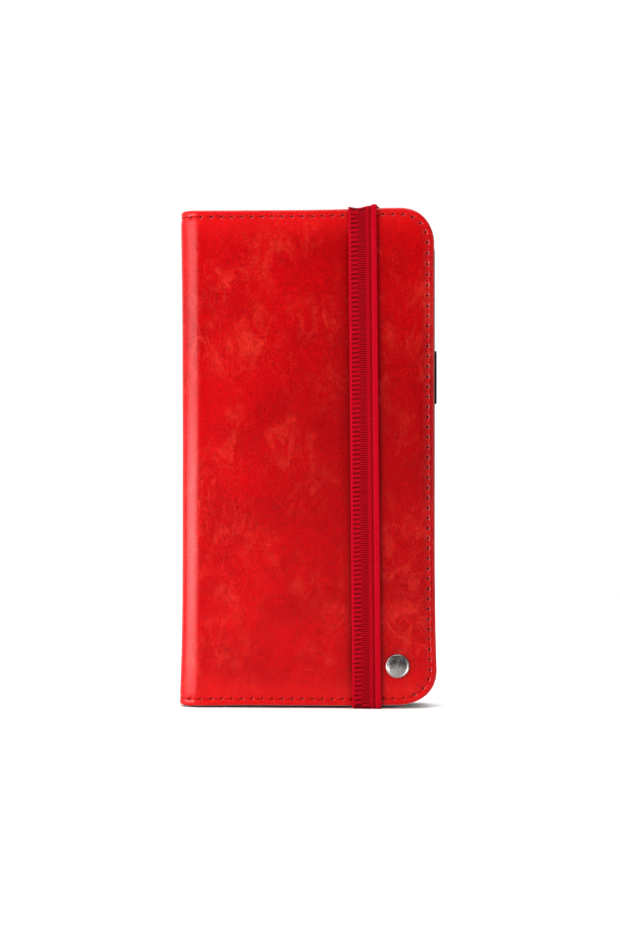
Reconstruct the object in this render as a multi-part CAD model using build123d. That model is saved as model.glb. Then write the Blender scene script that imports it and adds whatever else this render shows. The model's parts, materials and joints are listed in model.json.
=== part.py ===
from build123d import *

import os
from math import atan2, degrees

# A book-style wallet case for a large phone, closed and standing on its bottom edge. All sizes in mm.
# +X runs from the spine to the free edge, +Y from the front cover to the rear cover, +Z up.
# The origin is under the middle of the whole case, on the surface that it stands on.

# Driving dimensions: the phone that the case is moulded for, and the closed case.
PHONE_W = 77.4
PHONE_H = 157.5
PHONE_T = 7.7
COVER_W = 84.4
COVER_H = 165.0
COVER_D = 18.0
EDGE_R = 12.0  # corners of the free edge
SPINE_R = 5.5  # outer bend from each cover into the spine

# Material thicknesses.
LEATHER_T = 1.2
BOARD_T = 0.9
LINING_T = 0.5
POCKET_T = 0.5
ADHESIVE_T = 0.3
SPINE_BOARD_T = 0.6

# Elastic strap: a flat woven band that runs round the closed case, clear of the leather.
STRAP_W = 9.8
STRAP_T = 1.1
STRAP_GAP = 0.1
STRAP_FROM_SPINE = 61.2  # spine face to the strap's centre line
STRAP_TAB_T = 0.8
STRAP_TAB_L = 14.0
STRAP_LEG = 1.0  # how far the moving strand reaches over the cover's top and bottom edges
STRAP_JOIN_GAP = 0.1
STRAP_STEP = STRAP_T + STRAP_GAP

# Black tray that holds the phone.
TRAY_WALL = 1.5
TRAY_BACK = 1.3
TRAY_LIP_T = 0.9
TRAY_LIP_W = 1.0
TRAY_CLEAR = 0.1  # round the phone, each side
TRAY_PEEK = 0.3  # how far the tray shows past the free edge
BAY_R = 10.5

# Button covers in the tray's side walls.
BUTTON_PROUD = 0.7
BUTTON_W = 3.2
BUTTON_CLEAR = 0.15
FLANGE_W = 0.8
FLANGE_IN = 0.5
FLANGE_OUT = 1.0
REBATE_DEPTH = 1.05
POWER_L = 17.9
VOLUME_L = 10.5

# Stations of the buttons and the mute switch, down from the phone's top edge.
POWER_DOWN = 51.75
VOLUME_UP_DOWN = 41.0
VOLUME_DOWN_DOWN = 55.0
MUTE_DOWN = 27.0
MUTE_W = 5.2
MUTE_L = 9.0

# Openings in the tray's bottom wall.
PORT_W = 13.0
PORT_D = 5.2
SPEAKER_W = 13.0
SPEAKER_D = 2.6
SPEAKER_OFFSET = 18.0

# Camera window: a tall pill through the rear cover, lined by a collar on the tray.
WINDOW_W = 14.0
WINDOW_H = 31.0
WINDOW_CLEAR = 0.2
COLLAR_WALL = 1.2
COLLAR_SHY = 0.3
WINDOW_FROM_EDGE = 11.1
WINDOW_DOWN = 19.0

# Seams: a groove near the edge, with a row of stitches sunk in it.
SEAM_INSET = 2.2
GROOVE_W = 0.9
GROOVE_DEPTH = 0.35
STITCH_PITCH = 3.3
STITCH_L = 2.4
STITCH_W = 0.6

# Cover construction.
BOARD_INSET = 4.5
BOARD_CLEAR = 0.05
LEATHER_FILLET = 0.9
CREASE_GAP = 0.5  # between the leather of two panels that fold on each other
POCKET_INSET = 4.0
POCKET_R = 8.0
CASH_MOUTH = 18.7  # spine face to the cash pocket's mouth
CARD_STEP = 10.0

# Rivet in the front cover's lower free corner.
RIVET_FROM_EDGE = 12.2
RIVET_UP = 13.0
RIVET_R = 4.0
RIVET_H = 0.8
RIVET_POST_R = 1.5
RIVET_BACK_R = 3.4
RIVET_BACK_T = 0.4

# The closed case's outer faces.
X_SPINE = -(COVER_W + TRAY_PEEK + BUTTON_PROUD) / 2
X_EDGE = X_SPINE + COVER_W
Y_FRONT = -(COVER_D + STRAP_STEP) / 2 + STRAP_STEP
Y_REAR = Y_FRONT + COVER_D
Y_MIDDLE = (Y_FRONT + Y_REAR) / 2
Z_BASE = STRAP_STEP
Z_TOP = Z_BASE + COVER_H
Z_MIDDLE = (Z_BASE + Z_TOP) / 2
FULL_Z = (Z_BASE, Z_TOP)

# Where the bends into the spine begin.
X_BEND = X_SPINE + SPINE_R
Y_BEND_FRONT = Y_FRONT + SPINE_R
Y_BEND_REAR = Y_REAR - SPINE_R
X_PANEL = X_BEND + CREASE_GAP

# Depth of each layer, as (low, high) along Y. The front cover's are counted inward from its outer face.
Y_FRONT_BOARD = (Y_FRONT + LEATHER_T, Y_FRONT + LEATHER_T + BOARD_T)
Y_FRONT_LINING = (Y_FRONT_BOARD[1], Y_FRONT_BOARD[1] + LINING_T)
Y_REAR_BOARD = (Y_REAR - LEATHER_T - BOARD_T, Y_REAR - LEATHER_T)
Y_REAR_LINING = (Y_REAR_BOARD[0] - LINING_T, Y_REAR_BOARD[0])
Y_ADHESIVE = (Y_REAR_LINING[0] - ADHESIVE_T, Y_REAR_LINING[0])
Y_TRAY_BACK = (Y_ADHESIVE[0] - TRAY_BACK, Y_ADHESIVE[0])
Y_BAY = (Y_TRAY_BACK[0] - PHONE_T - 2 * TRAY_CLEAR, Y_TRAY_BACK[0])
Y_LIP = (Y_BAY[0] - TRAY_LIP_T, Y_BAY[0])
Y_SIDE = (Y_BAY[0] + Y_BAY[1]) / 2  # the buttons and the port sit at the phone's mid-depth

# The tray's plan, with its right wall just past the free edge.
BAY_W = PHONE_W + 2 * TRAY_CLEAR
BAY_H = PHONE_H + 2 * TRAY_CLEAR
TRAY_W = BAY_W + 2 * TRAY_WALL
TRAY_H = BAY_H + 2 * TRAY_WALL
X_TRAY = X_EDGE + TRAY_PEEK - TRAY_W / 2
Z_PHONE_TOP = Z_MIDDLE + PHONE_H / 2
X_WINDOW = X_EDGE - WINDOW_FROM_EDGE
Z_WINDOW = Z_PHONE_TOP - WINDOW_DOWN
X_STRAP = X_SPINE + STRAP_FROM_SPINE
STRAP_X = (X_STRAP - STRAP_W / 2, X_STRAP + STRAP_W / 2)
X_RIVET = X_EDGE - RIVET_FROM_EDGE
Z_RIVET = Z_BASE + RIVET_UP

# Each button's side of the tray (+1 free edge, -1 spine), its station and its length.
BUTTONS = {
    "power_button": (1, POWER_DOWN, POWER_L),
    "volume_up_button": (-1, VOLUME_UP_DOWN, VOLUME_L),
    "volume_down_button": (-1, VOLUME_DOWN_DOWN, VOLUME_L),
}


def block(x, y, z):
    """A box over three (low, high) intervals."""
    centre = [(low + high) / 2 for low, high in (x, y, z)]
    return Pos(*centre) * Box(x[1] - x[0], y[1] - y[0], z[1] - z[0])


def facing_plate(outline, y):
    """An X-Z outline, solid over the depths y."""
    plane = Plane(origin=(0, y[1], 0), x_dir=(1, 0, 0), z_dir=(0, -1, 0))
    return extrude(plane * outline, y[1] - y[0])


def side_plate(outline, x):
    """A Y-Z outline, solid over the interval x."""
    plane = Plane(origin=(x[0], 0, 0), x_dir=(0, 1, 0), z_dir=(1, 0, 0))
    return extrude(plane * outline, x[1] - x[0])


def pill(width, length):
    """A slot outline with round ends, longest along its second axis."""
    return RectangleRounded(width, length, 0.4999 * width)


def cover_outline(x_left, inset=0.0):
    """A cover's outline: square at the spine side, with round corners at the free edge."""
    width = X_EDGE - inset - x_left
    sheet = Pos(x_left + width / 2, Z_MIDDLE) * Rectangle(width, COVER_H - 2 * inset)
    return fillet(sheet.vertices().group_by(Axis.X)[-1], EDGE_R - inset)


def pocket_outline(x_left, inset=0.0):
    """A pocket panel's outline, set in from the cover's edges."""
    edge = X_EDGE - POCKET_INSET - inset
    height = COVER_H - 2 * (POCKET_INSET + inset)
    sheet = Pos((x_left + edge) / 2, Z_MIDDLE) * Rectangle(edge - x_left, height)
    return fillet(sheet.vertices().group_by(Axis.X)[-1], POCKET_R - inset)


def groove(outline, y):
    """A channel along the top, free edge and bottom of an outline. It starts well outside the panel."""
    outer = facing_plate(outline(X_SPINE - SPINE_R, SEAM_INSET - GROOVE_W / 2), y)
    inner = facing_plate(outline(X_SPINE - 2 * SPINE_R, SEAM_INSET + GROOVE_W / 2), y)
    return outer - inner


def stitches(path, y):
    """Short thread lengths along an X-Z path, over the depths y."""
    count = round(path.length / STITCH_PITCH)
    row = []
    for i in range(count):
        place = path @ ((i + 0.5) / count)
        along = path % ((i + 0.5) / count)
        turn = Rot(0, -degrees(atan2(along.Y, along.X)), 0)
        stitch = Box(STITCH_L, y[1] - y[0], STITCH_W)
        row.append(Pos(place.X, sum(y) / 2, place.Y) * turn * stitch)
    return row


def seam_path(x_left, x_right, half_height, radius):
    """The seam's line: along the top, down the free edge and back along the bottom."""
    top = Z_MIDDLE + half_height
    bottom = Z_MIDDLE - half_height
    corners = [(x_left, top), (x_right, top), (x_right, bottom), (x_left, bottom)]
    return FilletPolyline(*corners, radius=radius)


def cover_seam(x_left, y):
    """Stitches round a cover."""
    half_height = COVER_H / 2 - SEAM_INSET
    path = seam_path(x_left, X_EDGE - SEAM_INSET, half_height, EDGE_R - SEAM_INSET)
    return stitches(path, y)


def sunk(face, inward):
    """The depths of a groove cut into a face, where inward is +1 or -1 along Y."""
    return tuple(sorted((face, face + inward * GROOVE_DEPTH)))


def bend_ring(outer, inner):
    """A shell that follows the spine's outer profile, between two distances inside it."""
    width = COVER_W / 2
    profile = RectangleRounded(width - 2 * outer, COVER_D - 2 * outer, SPINE_R - outer)
    profile -= RectangleRounded(width - 2 * inner, COVER_D - 2 * inner, SPINE_R - inner)
    return Pos(X_SPINE + width / 2, Y_MIDDLE, Z_BASE) * extrude(profile, COVER_H)


def soften(plate, outer_face):
    """Round the outer face's edges, except the one at the spine."""
    face = plate.faces().sort_by(Axis.Y)[outer_face]
    return fillet(face.edges().sort_by(Axis.X)[1:], LEATHER_FILLET)


def window(grow, y):
    """The camera window's pill over the depths y, grown on each side."""
    outline = Pos(X_WINDOW, Z_WINDOW) * pill(WINDOW_W + 2 * grow, WINDOW_H + 2 * grow)
    return facing_plate(outline, y)


def strap_slots():
    """Room inside the rear cover for the strap's two sewn ends."""
    x = (STRAP_X[0] - STRAP_GAP, STRAP_X[1] + STRAP_GAP)
    top = block(x, Y_REAR_BOARD, (Z_TOP - STRAP_TAB_L - STRAP_GAP, Z_TOP))
    bottom = block(x, Y_REAR_BOARD, (Z_BASE, Z_BASE + STRAP_TAB_L + STRAP_GAP))
    return top + bottom


def board_plate(y, clear=0.0):
    """A cover's stiffening board, or with no clearance the recess that holds it."""
    return facing_plate(cover_outline(X_PANEL + LEATHER_T + clear, BOARD_INSET + clear), y)


def rivet_plug(radius, y):
    """A round plug on the rivet's axis, over the depths y."""
    return facing_plate(Pos(X_RIVET, Z_RIVET) * Circle(radius), y)


def front_leather():
    y = (Y_FRONT, Y_FRONT_BOARD[1])
    leather = soften(facing_plate(cover_outline(X_PANEL), y), 0)
    leather -= board_plate(Y_FRONT_BOARD)
    leather -= groove(cover_outline, sunk(Y_FRONT, 1))
    return leather - rivet_plug(RIVET_POST_R, (Y_FRONT, Y_FRONT_BOARD[0]))


def front_board():
    board = board_plate(Y_FRONT_BOARD, BOARD_CLEAR)
    back = (Y_FRONT_BOARD[1] - RIVET_BACK_T, Y_FRONT_BOARD[1])
    board -= rivet_plug(RIVET_POST_R, Y_FRONT_BOARD)
    return board - rivet_plug(RIVET_BACK_R, back)


def front_lining():
    lining = facing_plate(cover_outline(X_PANEL), Y_FRONT_LINING)
    return lining - groove(cover_outline, sunk(Y_FRONT_LINING[1], -1))


def pocket(index):
    """Pocket panel 0 is the cash pocket's, and the card pockets' panels step away from the spine on it."""
    low = Y_FRONT_LINING[1] + index * POCKET_T
    panel = facing_plate(pocket_outline(mouth(index)), (low, low + POCKET_T))
    return panel - groove(pocket_outline, sunk(low + POCKET_T, -1))


def mouth(index):
    """X of a pocket's open edge."""
    return X_SPINE + CASH_MOUTH + index * CARD_STEP


def pocket_thread(count):
    """Each panel is sewn where it shows past the next, and the last one all the way round."""
    half_height = COVER_H / 2 - POCKET_INSET - SEAM_INSET
    row = []
    for index in range(count):
        y = sunk(Y_FRONT_LINING[1] + (index + 1) * POCKET_T, -1)
        if index == count - 1:
            edge = X_EDGE - POCKET_INSET - SEAM_INSET
            row += stitches(seam_path(mouth(index), edge, half_height, POCKET_R - SEAM_INSET), y)
            continue
        for z in (Z_MIDDLE + half_height, Z_MIDDLE - half_height):
            row += stitches(Line((mouth(index), z), (mouth(index + 1), z)), y)
    return Compound(row)


def rivet_cap():
    """Domed cap, with a post through the leather and the board."""
    cap = rivet_plug(RIVET_R, (Y_FRONT - RIVET_H, Y_FRONT))
    rim = cap.faces().sort_by(Axis.Y)[0].edges()
    cap = fillet(rim, RIVET_H * 0.8)
    return cap + rivet_plug(RIVET_POST_R, (Y_FRONT, Y_FRONT_BOARD[1] - RIVET_BACK_T))


def rivet_back():
    """Disc that closes the post behind the board, under the lining."""
    return rivet_plug(RIVET_BACK_R, (Y_FRONT_BOARD[1] - RIVET_BACK_T, Y_FRONT_BOARD[1]))


def spine_leather():
    """The spine's flat, with the bend into the front cover."""
    keep = block((X_SPINE, X_BEND), (Y_FRONT, Y_BEND_REAR - CREASE_GAP), FULL_Z)
    return bend_ring(0, LEATHER_T) & keep


def spine_board():
    x = (X_SPINE + LEATHER_T, X_SPINE + LEATHER_T + SPINE_BOARD_T)
    y = (Y_BEND_FRONT + LINING_T, Y_BEND_REAR - CREASE_GAP - LINING_T)
    return block(x, y, (Z_BASE + BOARD_INSET, Z_TOP - BOARD_INSET))


def spine_lining():
    """Lining over the spine's leather, raised where it covers the board."""
    y_end = Y_BEND_REAR - CREASE_GAP
    keep = block((X_SPINE, X_BEND), (Y_FRONT, y_end), FULL_Z)
    lining = bend_ring(LEATHER_T, LEATHER_T + LINING_T) & keep
    x = (X_SPINE + LEATHER_T, X_SPINE + LEATHER_T + SPINE_BOARD_T + LINING_T)
    return lining + block(x, (Y_BEND_FRONT, y_end), FULL_Z) - spine_board()


def rear_bend(outer, inner):
    """The quarter bend from the rear cover towards the spine."""
    keep = block((X_SPINE, X_BEND), (Y_BEND_REAR, Y_REAR), FULL_Z)
    return bend_ring(outer, inner) & keep


def rear_leather():
    rim = facing_plate(cover_outline(X_PANEL), (Y_REAR_BOARD[0], Y_REAR))
    rim = soften(rim, -1) - board_plate(Y_REAR_BOARD)
    flat = block((X_BEND, X_PANEL), (Y_REAR - LEATHER_T, Y_REAR), FULL_Z)
    leather = rim + flat + rear_bend(0, LEATHER_T)
    leather -= groove(cover_outline, sunk(Y_REAR, -1))
    return leather - window(0, (Y_REAR_BOARD[0], Y_REAR)) - strap_slots()


def rear_board():
    board = board_plate(Y_REAR_BOARD, BOARD_CLEAR)
    return board - window(0, Y_REAR_BOARD) - strap_slots()


def rear_lining():
    """Lining of the rear cover, stepped down past the board's edge and on round the bend."""
    lining = facing_plate(cover_outline(X_BEND), Y_REAR_LINING)
    lining += block((X_BEND, X_PANEL), (Y_REAR_LINING[0], Y_REAR - LEATHER_T), FULL_Z)
    lining += rear_bend(LEATHER_T, LEATHER_T + LINING_T)
    lining -= groove(cover_outline, sunk(Y_REAR_LINING[0], 1))
    return lining - window(0, Y_REAR_LINING)


def adhesive_pad():
    """Double-sided pad that bonds the tray to the lining, below the camera window."""
    top = Z_WINDOW - WINDOW_H / 2 - BOARD_INSET
    bottom = Z_BASE + EDGE_R
    outline = Pos(X_TRAY, (top + bottom) / 2) * RectangleRounded(0.8 * TRAY_W, top - bottom, POCKET_R)
    return facing_plate(outline, Y_ADHESIVE)


def tray_outline(inset):
    """The tray's plan, inset from its outer wall."""
    outline = RectangleRounded(TRAY_W - 2 * inset, TRAY_H - 2 * inset, BAY_R + TRAY_WALL - inset)
    return Pos(X_TRAY, Z_MIDDLE) * outline


def side_span(side, inner, outer):
    """X interval between two distances outward from the bay's wall, where side is +1 right or -1 left."""
    wall = X_TRAY + side * BAY_W / 2
    return tuple(sorted((wall + side * inner, wall + side * outer)))


def button_outline(down, length, grow=0.0):
    """A button's pill on a side wall, grown on each side."""
    return Pos(Y_SIDE, Z_PHONE_TOP - down) * pill(BUTTON_W + 2 * grow, length + 2 * grow)


def button(side, down, length):
    """A button cover: a pill that stands proud of the wall, on a flange that keeps it in."""
    cap = side_plate(button_outline(down, length), side_span(side, FLANGE_OUT, TRAY_WALL + BUTTON_PROUD))
    rim = cap.faces().sort_by(Axis.X)[-1 if side > 0 else 0].edges()
    cap = fillet(rim, BUTTON_PROUD / 2)
    return cap + side_plate(button_outline(down, length, FLANGE_W), side_span(side, FLANGE_IN, FLANGE_OUT))


def button_hole(side, down, length):
    """The stepped hole that a button cover travels in."""
    hole = side_plate(button_outline(down, length, BUTTON_CLEAR), side_span(side, 0, TRAY_WALL))
    rebate = button_outline(down, length, FLANGE_W + BUTTON_CLEAR)
    return hole + side_plate(rebate, side_span(side, 0, REBATE_DEPTH))


def bottom_slot(x, width, depth):
    """A round-ended opening through the tray's bottom wall."""
    outline = Pos(x, Y_SIDE) * RectangleRounded(width, depth, 0.4999 * depth)
    low = Z_MIDDLE - TRAY_H / 2
    return Pos(0, 0, low) * extrude(outline, TRAY_WALL)


def tray_shell():
    """The phone tray, with its lip, camera collar, button holes and ports."""
    tray = facing_plate(tray_outline(0), (Y_LIP[0], Y_TRAY_BACK[1]))
    tray = fillet(tray.faces().sort_by(Axis.Y)[-1].edges(), TRAY_WALL)
    tray = fillet(tray.faces().sort_by(Axis.Y)[0].edges(), TRAY_WALL / 3)
    tray -= facing_plate(tray_outline(TRAY_WALL), Y_BAY)
    tray -= facing_plate(tray_outline(TRAY_WALL + TRAY_LIP_W), Y_LIP)
    tray += window(-WINDOW_CLEAR, (Y_TRAY_BACK[0], Y_REAR - COLLAR_SHY))
    tray -= window(-WINDOW_CLEAR - COLLAR_WALL, (Y_TRAY_BACK[0], Y_REAR))
    for side, down, length in BUTTONS.values():
        tray -= button_hole(side, down, length)
    mute = Pos(Y_SIDE, Z_PHONE_TOP - MUTE_DOWN) * pill(MUTE_W, MUTE_L)
    tray -= side_plate(mute, side_span(-1, 0, TRAY_WALL))
    tray -= bottom_slot(X_TRAY, PORT_W, PORT_D)
    for offset in (-SPEAKER_OFFSET, SPEAKER_OFFSET):
        tray -= bottom_slot(X_TRAY + offset, SPEAKER_W, SPEAKER_D)
    return tray


def strap_loop():
    """The band as a closed loop round the case."""
    depth = COVER_D + 2 * STRAP_STEP
    height = COVER_H + 2 * STRAP_STEP
    profile = RectangleRounded(depth, height, STRAP_T + 4 * STRAP_GAP)
    profile -= RectangleRounded(depth - 2 * STRAP_T, height - 2 * STRAP_T, 4 * STRAP_GAP)
    return side_plate(Pos(Y_MIDDLE, Z_MIDDLE) * profile, STRAP_X)


def strap_front():
    """The strand that is pulled off the front cover."""
    y = (Y_FRONT - STRAP_STEP, Y_FRONT + STRAP_LEG)
    return strap_loop() & block(STRAP_X, y, (0, Z_TOP + STRAP_STEP))


def strap_end(top):
    """A run over the top or bottom edge, with the tab that is sewn into the rear cover."""
    margin = (Y_REAR_BOARD[1] - Y_REAR_BOARD[0] - STRAP_TAB_T) / 2
    tab_y = (Y_REAR_BOARD[0] + margin, Y_REAR_BOARD[1] - margin)
    run_y = (Y_FRONT + STRAP_LEG + STRAP_JOIN_GAP, tab_y[1])
    if top:
        run = strap_loop() & block(STRAP_X, run_y, (Z_TOP, Z_TOP + STRAP_STEP))
        return run + block(STRAP_X, tab_y, (Z_TOP - STRAP_TAB_L, Z_TOP + STRAP_STEP / 2))
    run = strap_loop() & block(STRAP_X, run_y, (0, Z_BASE))
    return run + block(STRAP_X, tab_y, (Z_BASE - STRAP_STEP / 2, Z_BASE + STRAP_TAB_L))


def covers_and_spine():
    """Leather, boards, linings and thread of the three folding panels."""
    front_rows = cover_seam(X_PANEL, sunk(Y_FRONT, 1)) + cover_seam(X_PANEL, sunk(Y_FRONT_LINING[1], -1))
    rear_rows = cover_seam(X_BEND, sunk(Y_REAR, -1)) + cover_seam(X_BEND, sunk(Y_REAR_LINING[0], 1))
    return {
        "front_leather": front_leather(),
        "front_board": front_board(),
        "front_lining": front_lining(),
        "front_seam_thread": Compound(front_rows),
        "spine_leather": spine_leather(),
        "spine_board": spine_board(),
        "spine_lining": spine_lining(),
        "rear_leather": rear_leather(),
        "rear_board": rear_board(),
        "rear_lining": rear_lining(),
        "rear_seam_thread": Compound(rear_rows),
    }


def pockets():
    """Cash pocket and card pockets inside the front cover."""
    names = ["cash_pocket", "card_pocket_1", "card_pocket_2", "card_pocket_3"]
    nodes = {name: pocket(index) for index, name in enumerate(names)}
    nodes["pocket_thread"] = pocket_thread(len(names))
    return nodes


def fittings():
    """Tray, buttons, rivet and strap."""
    nodes = {
        "adhesive_pad": adhesive_pad(),
        "tray_shell": tray_shell(),
        "rivet_cap": rivet_cap(),
        "rivet_back": rivet_back(),
        "strap_front": strap_front(),
        "strap_top_end": strap_end(top=True),
        "strap_bottom_end": strap_end(top=False),
    }
    nodes |= {name: button(*where) for name, where in BUTTONS.items()}
    return nodes


os.makedirs("parts", exist_ok=True)
for node, shape in (covers_and_spine() | pockets() | fittings()).items():
    export_step(shape, f"parts/{node}.step")
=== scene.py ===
import json
import math

import bmesh
import bpy
import numpy as np
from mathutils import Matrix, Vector


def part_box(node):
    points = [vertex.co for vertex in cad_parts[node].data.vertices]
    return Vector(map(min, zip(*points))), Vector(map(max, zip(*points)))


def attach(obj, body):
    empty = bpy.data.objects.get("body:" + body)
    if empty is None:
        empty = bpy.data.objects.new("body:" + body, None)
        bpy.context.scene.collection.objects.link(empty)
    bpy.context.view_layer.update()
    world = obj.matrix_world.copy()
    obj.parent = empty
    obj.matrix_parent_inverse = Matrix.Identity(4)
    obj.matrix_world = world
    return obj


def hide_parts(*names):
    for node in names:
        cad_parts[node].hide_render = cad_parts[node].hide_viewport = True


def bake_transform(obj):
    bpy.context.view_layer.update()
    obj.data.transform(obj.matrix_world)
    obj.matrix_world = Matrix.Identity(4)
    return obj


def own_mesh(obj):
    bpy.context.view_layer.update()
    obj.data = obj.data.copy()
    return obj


# A book-style wallet case, closed and upright. Mesh code works in millimetres in the row frame:
# +X from the spine to the free edge, +Y from the front cover to the rear cover, +Z up.
MM = 0.001

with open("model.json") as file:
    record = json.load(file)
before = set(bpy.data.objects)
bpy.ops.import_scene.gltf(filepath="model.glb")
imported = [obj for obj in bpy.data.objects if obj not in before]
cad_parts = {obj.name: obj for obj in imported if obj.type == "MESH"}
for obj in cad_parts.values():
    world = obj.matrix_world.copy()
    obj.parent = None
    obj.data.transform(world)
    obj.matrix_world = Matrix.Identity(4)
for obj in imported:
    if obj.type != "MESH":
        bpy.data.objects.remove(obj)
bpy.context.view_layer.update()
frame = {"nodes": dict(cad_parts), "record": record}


def cad_box(name):
    """A CAD node's lowest and highest corners, in millimetres."""
    low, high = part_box(name)
    return np.array(low) / MM, np.array(high) / MM


# Places and sizes that the frame gives.
SPINE_LOW, SPINE_HIGH = cad_box("spine_leather")
STRAP_LOW, STRAP_HIGH = cad_box("strap_front")
RIVET_LOW, RIVET_HIGH = cad_box("rivet_cap")
LINING_LOW, LINING_HIGH = cad_box("front_lining")
X_SPINE, Y_FRONT, Z_BASE = SPINE_LOW
X_BEND = SPINE_HIGH[0]
X_PANEL = cad_box("front_leather")[0][0]
X_EDGE, Y_REAR, Z_TOP = cad_box("rear_leather")[1]
BEND_R = X_BEND - X_SPINE
BEND_L = BEND_R * math.pi / 2
Y_MIDDLE = (Y_FRONT + Y_REAR) / 2
U_SPINE = X_BEND - BEND_L - (Y_MIDDLE - Y_FRONT - BEND_R)  # developed place of the spine's middle
X_STRAP = (STRAP_LOW[0] + STRAP_HIGH[0]) / 2
X_RIVET = (RIVET_LOW[0] + RIVET_HIGH[0]) / 2
Z_RIVET = (RIVET_LOW[2] + RIVET_HIGH[2]) / 2
RIVET_R = (RIVET_HIGH[0] - RIVET_LOW[0]) / 2
LEATHER_T = 1.2
BOARD_T = 0.9
SPINE_BOARD_T = 0.6
STRAP_W = 9.8
STRAP_T = 1.1
STRAP_Y = STRAP_LOW[1] + STRAP_T  # the front strand's inner face
STRAP_TOP = STRAP_HIGH[2] - STRAP_T
STRAP_BOTTOM = STRAP_LOW[2] + STRAP_T
TAB_Y = cad_box("strap_top_end")[1][1]  # the inner face of the tabs in the rear cover
LINING_D = LINING_LOW[1] - Y_FRONT
LINING_T = LINING_HIGH[1] - LINING_LOW[1]

# The corners of the cover and of its pockets, and the seam's inset and stitch length.
CORNER_R = 12.0
POCKET_R = 8.0
SEAM = 2.2
PITCH = 3.35
STITCH_GAP = 0.7
INNER_SUNK = 0.12  # how deep the stitches' centre lines lie below an inner face


# ---- sheet geometry


class Outline:
    """A panel's outline in developed coordinates (u, z): open at the left, round corners at the right."""

    def __init__(self, left, right, bottom, top, radius):
        self.left = left
        self.right = right
        self.bottom = bottom
        self.lead = right - radius - left
        self.side = top - bottom - 2 * radius
        self.bend = (radius - SEAM) * math.pi / 2
        self.top = top
        self.radius = radius
        self.length = 2 * self.lead + self.side + 2 * self.bend
        self.stitches = round(self.length / PITCH)
        self.pitch = self.length / self.stitches

    def point(self, along, inset):
        """Points at a length along the seam line and an inset from the edge."""
        run = np.asarray(along, float)
        stretches = []
        for length in (self.lead, self.bend, self.side, self.bend, self.lead):
            stretches.append(np.clip(run, 0, length))
            run = run - length
        out, turn_1, down, turn_2, back = stretches
        angle = (turn_1 + turn_2) / (self.radius - SEAM)
        reach = self.radius - inset
        u = self.left + out - back + reach * np.sin(angle)
        z = self.top - self.radius - down + reach * np.cos(angle)
        return u, z


class Window:
    """A tall pill-shaped hole in the rear cover."""

    def __init__(self, u, z, width, height):
        self.u = u
        self.z = z
        self.radius = width / 2
        self.half = (height - width) / 2

    def distance(self, u, z):
        """Distance outward from the pill's edge."""
        past_side = np.clip(np.abs(z - self.z) - self.half, 0, None)
        return np.hypot(u - self.u, past_side) - self.radius

    def edge(self, grow):
        """Points round the edge, grown by a distance."""
        reach = self.radius + grow
        turn = np.linspace(0, math.pi, 33)
        arc_u = reach * np.cos(turn)
        arc_z = self.half + reach * np.sin(turn)
        side_z = np.linspace(self.half, -self.half, 12)[1:-1]
        side_u = np.full(len(side_z), reach)
        u = np.concatenate([arc_u, -side_u, -arc_u, side_u])
        z = np.concatenate([arc_z, side_z, -arc_z, -side_z])
        return self.u + u, self.z + z


COVER = Outline(U_SPINE, X_EDGE, Z_BASE, Z_TOP, CORNER_R)
MOUNTS = {mount["name"]: np.array(mount["pos_m"]) / MM for mount in frame["record"]["mounts"]}
CAMERA_WINDOW = Window(MOUNTS["camera_window"][0], MOUNTS["camera_window"][2], 14.0, 31.0)


def smooth(low, high, value):
    """Smooth step from 0 at low to 1 at high."""
    t = np.clip((value - low) / (high - low), 0, 1)
    return t * t * (3 - 2 * t)


def bell(value, width):
    return np.exp(-((value / width) ** 2))


def thinned(u, d):
    """Depth of the inner layers, which come closer to the leather where there is no board."""
    in_bend = 1 - smooth(X_BEND - 1.5, X_PANEL + 1.5, u)
    on_spine = 1 - smooth(X_BEND - BEND_L - 0.5, X_BEND - BEND_L + 1.5, u)
    missing = BOARD_T * in_bend - SPINE_BOARD_T * on_spine
    return d - missing * np.clip((d - LEATHER_T) / BOARD_T, 0, 1)


def flare(x, z):
    """How far the spine's ends have spread outward, and the lower edge has sagged near it, with use."""
    near_spine = 1 - smooth(X_SPINE + 1, X_SPINE + 13, x)
    out = 1.3 * np.exp((Z_BASE - z) / 16) + 0.7 * np.exp((z - Z_TOP) / 25)
    sag = 0.42 * (1 - smooth(12, 38, x)) + 0.25 * (1 - smooth(X_SPINE + 2, X_SPINE + 24, x))
    drop = sag * np.exp((Z_BASE - z) / 9)
    return -out * near_spine, -drop


def lift(x, z):
    """The top edge stands a little proud, most at the free corner, which makes that corner tighter."""
    proud = 0.22 + 0.42 * smooth(-5, 28, x) + 0.16 * smooth(20, 27, x) + 0.5 * smooth(29.5, 38, x)
    return proud * smooth(Z_TOP - 30, Z_TOP, z)


def bulge(x, z):
    """The free edge swells outward toward its lower corner."""
    swell = 1.27 * np.exp((Z_BASE - z) / 20) + 0.22 * np.exp((Z_BASE - z) / 60)
    return swell * smooth(X_EDGE - 13, X_EDGE - 1, x)


def place(u, z, d, rear=False):
    """Row-frame points of a sheet's developed points, at a depth inward from its outer face."""
    angle = np.clip((X_BEND - u) / BEND_R, 0, math.pi / 2)
    on_spine = np.clip(X_BEND - BEND_L - u, 0, None)
    reach = BEND_R - d
    x = np.maximum(u, X_BEND) - reach * np.sin(angle)
    y = Y_FRONT + BEND_R - reach * np.cos(angle) + on_spine
    shift_x, shift_z = flare(x, z)
    if rear:
        y = 2 * Y_MIDDLE - y
    return np.stack([x + shift_x + bulge(x, z), y, z + shift_z + lift(x, z)], axis=-1)


def grid_faces(index):
    """Quads between the rows of a grid of point indices."""
    index = np.asarray(index)
    cells = [index[:-1, :-1], index[:-1, 1:], index[1:, 1:], index[1:, :-1]]
    return np.stack(cells, axis=-1).reshape(-1, 4).tolist()


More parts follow.
